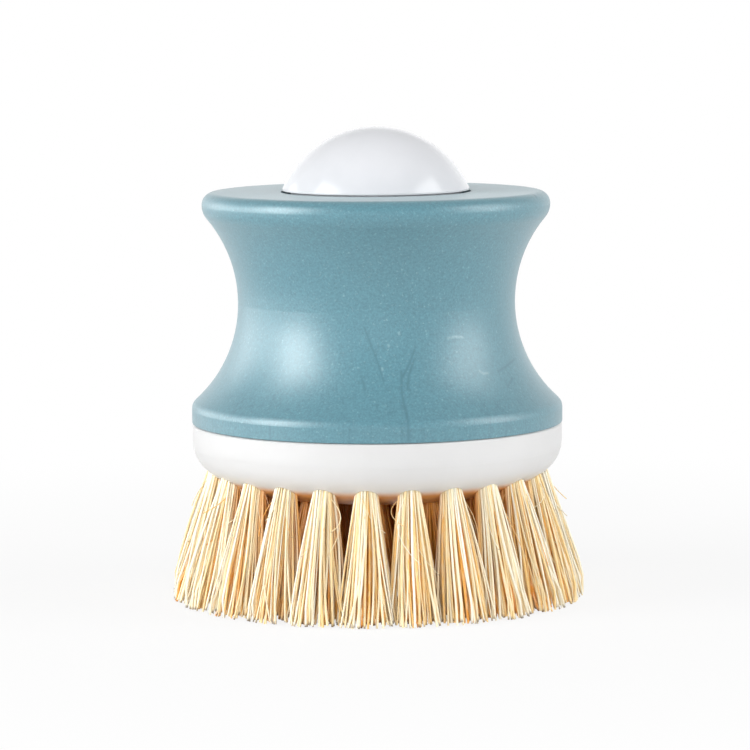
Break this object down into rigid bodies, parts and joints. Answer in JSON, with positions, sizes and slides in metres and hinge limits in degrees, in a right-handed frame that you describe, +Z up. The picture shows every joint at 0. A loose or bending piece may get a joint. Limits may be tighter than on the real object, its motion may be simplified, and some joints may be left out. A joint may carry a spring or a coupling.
{
  "type": "dish brush",
  "caption": "Palm dish brush with an hourglass handle, a dome button that pumps soap from an inner tank, and a round screw-on head of plant fibre tufts.",
  "frame": {"origin": "centre of the brush axis on the plane of the trimmed bristle tips", "axes": "+Z up along the brush axis towards the button, -Y is the front that the picture shows"},
  "size_m": [0.0788, 0.0788, 0.0894],
  "materials": {
    "blue_polypropylene": "moulded, fine matt grain",
    "gloss_white_abs": "moulded, polished",
    "white_polypropylene": "moulded, satin",
    "natural_polypropylene": "moulded, milky",
    "white_acetal": "moulded, smooth",
    "silicone": "moulded, soft",
    "black_rubber": "moulded",
    "spring_steel": "drawn wire",
    "plant_fibre": "cut natural fibre"
  },
  "bodies": {
    "brush_head": {"brush_block": "white_polypropylene", "tuft_plate": "white_polypropylene", "slit_valve": "silicone", "valve_retainer": "white_acetal", "tuft_anchors": "spring_steel", "outer_tuft_01": "plant_fibre", "outer_tuft_02": "plant_fibre", "outer_tuft_03": "plant_fibre", "outer_tuft_04": "plant_fibre", "outer_tuft_05": "plant_fibre", "outer_tuft_06": "plant_fibre", "outer_tuft_07": "plant_fibre", "outer_tuft_08": "plant_fibre", "outer_tuft_09": "plant_fibre", "outer_tuft_10": "plant_fibre", "outer_tuft_11": "plant_fibre", "outer_tuft_12": "plant_fibre", "outer_tuft_13": "plant_fibre", "outer_tuft_14": "plant_fibre", "outer_tuft_15": "plant_fibre", "outer_tuft_16": "plant_fibre", "outer_tuft_17": "plant_fibre", "outer_tuft_18": "plant_fibre", "outer_tuft_19": "plant_fibre", "outer_tuft_20": "plant_fibre", "outer_tuft_21": "plant_fibre", "outer_tuft_22": "plant_fibre", "outer_tuft_23": "plant_fibre", "outer_tuft_24": "plant_fibre", "middle_tuft_01": "plant_fibre", "middle_tuft_02": "plant_fibre", "middle_tuft_03": "plant_fibre", "middle_tuft_04": "plant_fibre", "middle_tuft_05": "plant_fibre", "middle_tuft_06": "plant_fibre", "middle_tuft_07": "plant_fibre", "middle_tuft_08": "plant_fibre", "middle_tuft_09": "plant_fibre", "middle_tuft_10": "plant_fibre", "middle_tuft_11": "plant_fibre", "middle_tuft_12": "plant_fibre", "inner_tuft_01": "plant_fibre", "inner_tuft_02": "plant_fibre", "inner_tuft_03": "plant_fibre", "inner_tuft_04": "plant_fibre", "inner_tuft_05": "plant_fibre", "inner_tuft_06": "plant_fibre"},
    "head_seal": {"head_gasket": "silicone"},
    "handle": {"handle_shell": "blue_polypropylene", "soap_tank": "natural_polypropylene", "pump_barrel": "natural_polypropylene", "barrel_washer": "silicone", "gland_cap": "white_acetal", "rod_seal": "black_rubber", "return_spring": "spring_steel"},
    "button": {"button_dome": "gloss_white_abs", "plunger_rod": "white_acetal", "piston_cup": "silicone"}
  },
  "joints": [
    {"name": "head_turn", "type": "hinge", "parent": "brush_head", "child": "head_seal", "pos_m": [0, 0, 0.0336], "axis": [0, 0, 1], "range_deg": [0, 380]},
    {"name": "handle_lift", "type": "slide", "parent": "head_seal", "child": "handle", "axis": [0, 0, 1], "range_m": [0, 0.012]},
    {"name": "button_press", "type": "slide", "parent": "handle", "child": "button", "axis": [0, 0, -1], "range_m": [0, 0.006], "stiffness_N_per_m": 700, "springref_m": -0.0045, "deforming": ["return_spring"]}
  ],
  "couplings": [
    {"joint": "head_turn", "follows": "handle_lift", "rad_per_m": 523.6}
  ]
}
